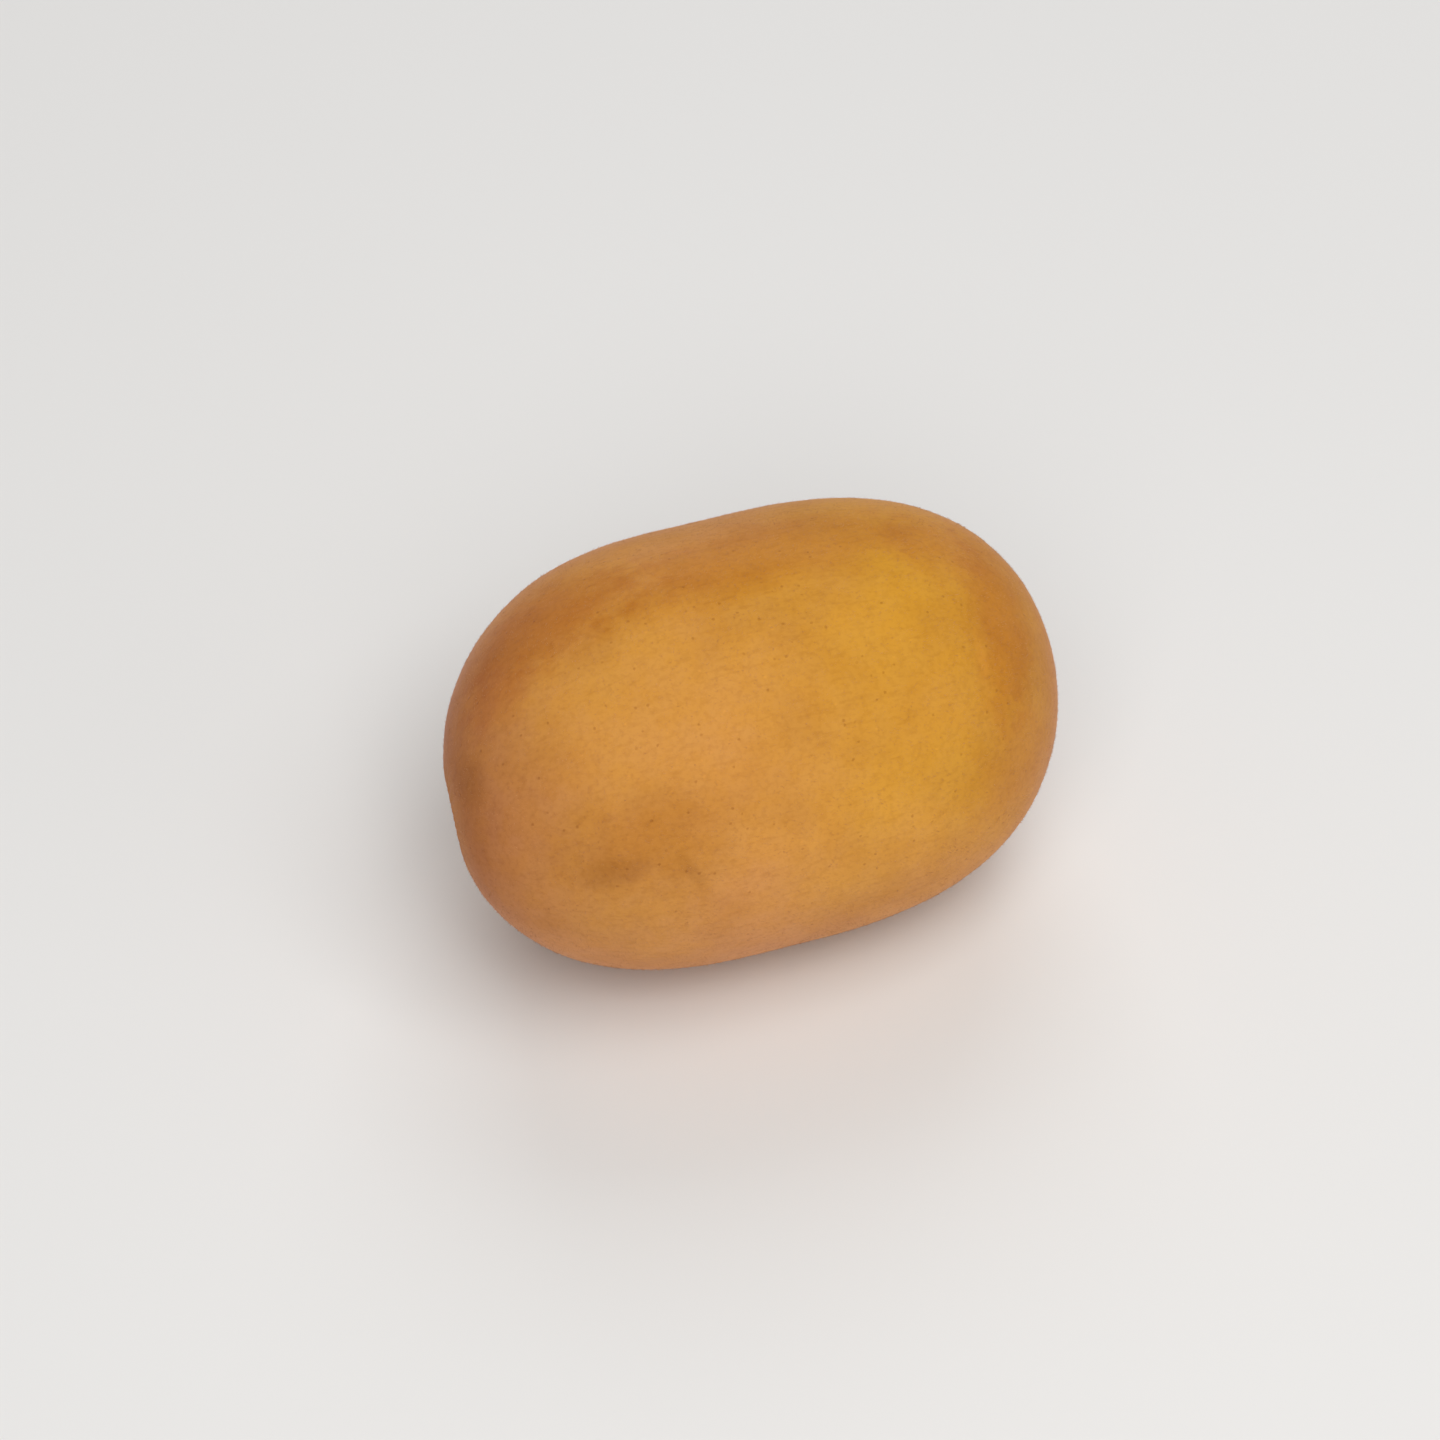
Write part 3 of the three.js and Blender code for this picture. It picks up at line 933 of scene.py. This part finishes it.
out, angle = np.meshgrid(
    np.linspace(0, 1, COLLAR_ROWS),
    np.arange(COLLAR_SPOKES) * 2 * math.pi / COLLAR_SPOKES,
    indexing="ij",
)
lobe = np.cos(SEPALS * angle + SEPAL_PHASE)
ragged = 0.11 * np.sin(9 * angle + 2) + 0.09 * np.sin(23 * angle)
ragged += 0.06 * np.sin(41 * angle + 1)
edge = COLLAR_OUTER + COLLAR_LOBE * lobe + ragged
radius = COLLAR_INNER + (edge - COLLAR_INNER) * out
upper = stem_floor(radius, angle)
size, height, seed = CRUMPLE
crumple = height * grown_waves(upper.reshape(-1, 3), size, seed).reshape(out.shape)
curl = 0.07 + 0.05 * np.sin(2 * angle + 1) + 0.05 * np.sin(7 * angle)
upper[..., 0] -= COLLAR_LIFT + curl * out**2 + crumple
lower = upper + [COLLAR_THICKNESS, 0, 0]
collar = np.concatenate([upper, lower[::-1]]).reshape(-1, 3)
collar_faces = ring_sheet_faces(COLLAR_ROWS, COLLAR_SPOKES)
sepals = blank_piece("dried_sepals", collar + to_frame, collar_faces)
write_on_points(sepals, "towards_edge", np.concatenate([out, out[::-1]]).ravel())
print("the sepals have", len(sepals.data.polygons), "faces")

# %% [markdown]
# ## The withered styles
#
# A kiwi flower has a brush of some thirty styles. They dry on the fruit to a small brown star.
# In the solid the star is eighteen straight pegs. Here each style is a thin curved tube that
# starts in the scab, leans outwards and droops a little, and ends in a small knob. The
# positions of the first ones repeat the solid's, ring by ring, and slender ones fill the gaps.

# %% The shape of one style
STYLE_RINGS = [(1, 0, 0), (6, 0.85, 0.5), (11, 1.65, 1.2)]  # how many, how far out, how leaning
SLENDER_RINGS = [(5, 0.5, 0.3), (9, 1.3, 0.9)]
STYLE_LENGTH = 1.9
STYLE_ROOT_RADIUS = 0.24
STYLE_TIP_RADIUS = 0.10
STYLE_SUNK = 0.7
STYLE_STRAY = 0.12  # how far a style misses its direction
STYLE_DROOP = (0.05, 0.30)  # how much it bends outwards, and then back
STYLE_SAG = (0.0, 0.16)
STYLE_TWIST = 0.16
STYLE_UNEVENNESS = 0.12
KNOB_SWELL = 0.07
THINNEST = 0.05
STYLE_STEPS = 12
STYLE_SIDES = 8


def tube_points(line, radii, sides):
    """A closed tube round a line of points: a pole, the rings, and a pole."""
    ways = np.gradient(line, axis=0)
    ways /= np.linalg.norm(ways, axis=1, keepdims=True)
    aside = np.cross(ways, [0.31, -0.42, 0.85])
    aside /= np.linalg.norm(aside, axis=1, keepdims=True)
    up = np.cross(ways, aside)
    turn = np.arange(sides) * 2 * math.pi / sides
    spokes = np.cos(turn)[:, None] * aside[:, None] + np.sin(turn)[:, None] * up[:, None]
    rings = line[:, None] + spokes * np.asarray(radii)[:, None, None]
    return np.concatenate([line[:1], rings.reshape(-1, 3), line[-1:]])


def style_tube(draw, angle, root_radius, lean, length, thickness):
    """One withered style, from inside the scab to its knobbed tip."""
    outward = np.array([0, math.cos(angle), math.sin(angle)])
    sideways = np.array([0, -math.sin(angle), math.cos(angle)])
    way = np.array([1, 0, 0]) + lean * outward + draw.normal(0, STYLE_STRAY) * sideways
    way /= np.linalg.norm(way)
    root = skin_point(np.ones(1), np.zeros(1))[0] + root_radius * outward
    reach = np.linspace(-STYLE_SUNK, length - STYLE_SUNK, STYLE_STEPS)
    bend = np.maximum(reach, 0) ** 2
    droop = draw.uniform(*STYLE_DROOP) * outward - draw.uniform(*STYLE_SAG) * np.array([1, 0, 0])
    twist = draw.normal(0, STYLE_TWIST) * sideways
    line = root + reach[:, None] * way + bend[:, None] * (droop + twist)
    share = np.linspace(0, 1, STYLE_STEPS)
    radii = thickness * (STYLE_ROOT_RADIUS + (STYLE_TIP_RADIUS - STYLE_ROOT_RADIUS) * share)
    radii *= 1 + STYLE_UNEVENNESS * draw.normal(size=STYLE_STEPS)
    radii += KNOB_SWELL * hump(0.93, 0.07, share)
    return tube_points(line, np.maximum(radii, THINNEST), STYLE_SIDES)


# %% Set the styles on the scab
STYLE_SEED = 60
SLENDER = 0.6  # times as thick as the others

draw = np.random.default_rng(STYLE_SEED)
tubes = []
for rings, thickness in ((STYLE_RINGS, 1), (SLENDER_RINGS, SLENDER)):
    for count, ring_radius, lean in rings:
        for i in range(count):
            angle = 2 * math.pi * (i + 0.5 * ring_radius) / count
            length = STYLE_LENGTH * draw.uniform(0.75, 1.05)
            tubes.append(style_tube(draw, angle, ring_radius, lean, length, thickness))
tube_faces = net_faces(STYLE_STEPS, STYLE_SIDES)
tube_starts = range(0, len(tubes) * len(tubes[0]), len(tubes[0]))
style_faces = [[start + point for point in face] for start in tube_starts for face in tube_faces]
styles = blank_piece("withered_styles", np.concatenate(tubes) + to_frame, style_faces)
print("there are", len(tubes), "styles")

# %% [markdown]
# ## The finish of what has withered
#
# Sepals and styles dried on the fruit in the same way, so one loop finishes both: brown, with
# lighter, worn fibres, and dull. Each has a pair of browns of its own, because the styles are
# nearly black and the collar is rusty. The collar also gets lighter towards its thin edge. The
# noise is finer than a style is thick, and as a bump it gives the fibres a little relief.

# %% Finish the sepals and the styles
WITHERED = {
    "dried_sepals": ((0.20, 0.062, 0.010, 1), (0.46, 0.165, 0.024, 1)),
    "withered_styles": ((0.055, 0.023, 0.010, 1), (0.25, 0.115, 0.042, 1)),
}
WITHERED_ROUGHNESS = (0.70, 0.88)
WITHERED_GLOSS = 0.08
FIBRE_SIZE = 0.14
FIBRE_SQUEEZE = 0.5
FIBRE_DEPTH = 0.05

for piece in (sepals, styles):
    dark, light = WITHERED[piece.name]
    withered_finish, tree, withered_shader, where = new_finish("finish_of_" + piece.name)
    fibres = cloud(tree, squeezed(tree, where, FIBRE_SQUEEZE), FIBRE_SIZE, detail=3, rough=0.55)
    worn = stretch(tree, fibres, 0.36, 0.66)
    if piece is sepals:
        thin = read_points(tree, "towards_edge")
        worn = scaled(tree, thin, 0.45, plus=scaled(tree, worn, 0.55))
    browns = blend_colours(tree, "MIX", worn, dark, light)
    fill(tree, withered_shader.inputs["Base Color"], browns)
    roughness = stretch(tree, fibres, 0.3, 0.7, *WITHERED_ROUGHNESS)
    fill(tree, withered_shader.inputs["Roughness"], roughness)
    withered_shader.inputs["Specular IOR Level"].default_value = WITHERED_GLOSS
    fill(tree, withered_shader.inputs["Normal"], raised(tree, fibres, FIBRE_DEPTH))
    piece.data.materials.append(withered_finish)
    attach(piece, "root")
    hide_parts("kiwi_fruit")
print("the styles' finish has", len(tree.nodes), "nodes")

# %% [markdown]
# ## The down
#
# A golden kiwi looks bald next to a green one, but it still wears a down of short soft hairs.
# There are two coats: a short one that lies nearly flat, and a sparser, longer one that stands
# out more. Blender can grow hair from particles, but hair like that is not a mesh and would be
# lost when the fruit is exported. So every hair is a tiny closed spike of four triangles. Their
# roots are thrown onto the skin at random, seeded, with more on larger faces, and each leans
# towards the blossom end, as brushed.

# %% Throw roots onto the skin
def random_roots(piece, count, draw):
    """Random places on a piece: their positions in millimetres and the normals there."""
    mesh = piece.data
    mesh.calc_loop_triangles()
    corners = np.zeros(len(mesh.loop_triangles) * 3, np.int32)
    mesh.loop_triangles.foreach_get("vertices", corners)
    places = np.zeros(len(mesh.vertices) * 3, np.float32)
    mesh.vertices.foreach_get("co", places)
    places = places.reshape(-1, 3).astype(float) / MM
    a, b, c = (places[corners.reshape(-1, 3)[:, i]] for i in range(3))
    crosses = np.cross(b - a, c - a)
    areas = np.linalg.norm(crosses, axis=1)
    chosen = draw.choice(len(areas), count, p=areas / areas.sum())
    u, v = draw.uniform(size=(2, count))
    flip = u + v > 1
    u, v = np.where(flip, 1 - u, u), np.where(flip, 1 - v, v)
    roots = a[chosen] + (b - a)[chosen] * u[:, None] + (c - a)[chosen] * v[:, None]
    return roots, (crosses / areas[:, None])[chosen]


# %% Grow the down
# For each coat of hairs: how many, how long in mm, how thick, how far they lean for each 1
# that they stand out, and how much they miss the way to the blossom end.
COATS = {
    "down_short": (49000, (0.12, 0.26), 0.018, 1.6, 0.35),
    "down_long": (30000, (0.22, 0.42), 0.022, 1.4, 0.5),
}
FIRST_SEED = 80
THICKET_SIZE = 9  # how far apart the denser places are
LEAN_SPREAD = (0.6, 1.5)
HAIR_SUNK = 0.03
BALD_HEIGHT = 0.9  # no hair grows lower than this over the floor
BALD_RADIUS = 5.6  # nor this near to the axis, where the scars are


def hair_coat(name, number, lengths, thickness, lean, stray, seed):
    """One coat of down: a piece of closed spikes on the skin."""
    draw = np.random.default_rng(seed)
    roots, out = random_roots(skin, number, draw)
    from_axis = np.hypot(roots[:, 1], roots[:, 2] - roots[:, 2].mean())
    thick = 0.5 + 0.5 * rise(-0.6, 0.8, grown_waves(roots, THICKET_SIZE, seed + 1))
    kept = (roots[:, 2] > BALD_HEIGHT) & (from_axis > BALD_RADIUS)
    kept &= draw.uniform(size=number) < thick
    roots, out = roots[kept], out[kept]
    count = len(roots)
    flow = np.array([1.0, 0, 0]) + draw.normal(0, stray, (count, 3))
    flow -= (flow * out).sum(axis=1, keepdims=True) * out
    flow /= np.linalg.norm(flow, axis=1, keepdims=True)
    way = out + flow * lean * draw.uniform(*LEAN_SPREAD, (count, 1))
    way /= np.linalg.norm(way, axis=1, keepdims=True)
    beside = np.cross(way, out)
    beside /= np.linalg.norm(beside, axis=1, keepdims=True)
    under = np.cross(way, beside)
    feet = roots - out * HAIR_SUNK
    turns = np.array([0, 2, 4]) * math.pi / 3
    points = [feet + thickness * (beside * math.cos(t) + under * math.sin(t)) for t in turns]
    points.append(roots + way * draw.uniform(*lengths, (count, 1)))
    first = np.arange(count) * 4
    sides = [(0, 2, 1), (0, 1, 3), (1, 2, 3), (2, 0, 3)]
    faces = np.concatenate([np.stack([first + i for i in side], axis=-1) for side in sides])
    return blank_piece(name, np.stack(points, axis=1).reshape(-1, 3), faces.tolist())


coats = [
    hair_coat(name, *values, seed=FIRST_SEED + 10 * i)
    for i, (name, values) in enumerate(COATS.items())
]
print("the down has", sum(len(coat.data.polygons) for coat in coats) // 4, "hairs")

# %% [markdown]
# ## The finish of the down
#
# Hairs are pale straw to light brown. Their colour wanders from place to place with a noise of
# about a millimetre, so that they don't read as one dye. They have a little gloss, and it is the
# same all over, so it is set on the shader.

# %% Finish the down
HAIR_STRAW = (0.68, 0.36, 0.16, 1)
HAIR_BROWN = (0.50, 0.22, 0.09, 1)
TUFT_SIZE = 1.2  # millimetres

down_finish, tree, down_shader, where = new_finish("soft_down")
tuft = stretch(tree, cloud(tree, where, TUFT_SIZE), 0.35, 0.65)
hair = blend_colours(tree, "MIX", tuft, HAIR_STRAW, HAIR_BROWN)
fill(tree, down_shader.inputs["Base Color"], hair)
down_shader.inputs["Roughness"].default_value = 0.6
down_shader.inputs["Specular IOR Level"].default_value = 0.3
for piece in coats:
    piece.data.materials.append(down_finish)
    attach(piece, "root")
    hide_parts("kiwi_fruit")
print("the down's finish has", len(tree.nodes), "nodes")

# %% [markdown]
# ## The floor and the light
#
# The floor is a plain pale surface, wide enough to fill every view. It isn't part of the fruit,
# so it is put on the stage. The light is that of a studio: a large soft panel high on the right,
# one in front where the camera stands, a weak low one on the far right and one behind, which
# keeps the back out of the dark. A dim white surrounding lifts the shadows. Large panels give
# the broad dull highlight of matte skin. The view transform is set to Standard, so that the
# colours of the finishes come out as they were mixed.

# %% Lay the floor
FLOOR_SIDE = 6  # metres
FLOOR_COLOUR = (0.80, 0.79, 0.775, 1)

half = FLOOR_SIDE / 2
floor_mesh = bpy.data.meshes.new("floor")
corners = [(-half, -half, 0), (half, -half, 0), (half, half, 0), (-half, half, 0)]
floor_mesh.from_pydata(corners, [], [(0, 1, 2, 3)])
floor = bpy.data.objects.new("floor", floor_mesh)
bpy.context.scene.collection.objects.link(floor)
floor_finish, tree, floor_shader, where = new_finish("pale_floor")
floor_shader.inputs["Base Color"].default_value = FLOOR_COLOUR
floor_shader.inputs["Roughness"].default_value = 0.8
floor_mesh.materials.append(floor_finish)
print("the floor is", FLOOR_SIDE, "m wide")

# %% Hang the lights
PANEL_DISTANCE = 1.2  # metres
PANEL_SIDE = 0.8
SURROUNDING = 0.2

# How each panel stands: its azimuth and elevation in degrees, and its watts.
PANELS = {
    "key": (20, 65, 5.8),
    "front": (-20, 45, 6.6),
    "low": (40, 20, 1.2),
    "back": (160, 45, 4.0),
}

for name, (azimuth, elevation, watts) in PANELS.items():
    panel = bpy.data.lights.new(name, "AREA")
    panel.shape = "SQUARE"
    panel.size = PANEL_SIDE
    panel.energy = watts
    lamp = bpy.data.objects.new(name, panel)
    way = direction_from(math.radians(azimuth), math.radians(elevation))
    lamp.location = fruit_middle + way * PANEL_DISTANCE
    lamp.rotation_mode = "QUATERNION"
    lamp.rotation_quaternion = (-way).to_track_quat("-Z", "Y")
    bpy.context.scene.collection.objects.link(lamp)

surrounding = bpy.data.worlds.new("surrounding")
surrounding.use_nodes = True
background = surrounding.node_tree.nodes["Background"]
background.inputs["Color"].default_value = (1, 1, 1, 1)
background.inputs["Strength"].default_value = SURROUNDING
bpy.context.scene.world = surrounding
bpy.context.scene.view_settings.view_transform = "Standard"
print("there are", len(PANELS), "panels")
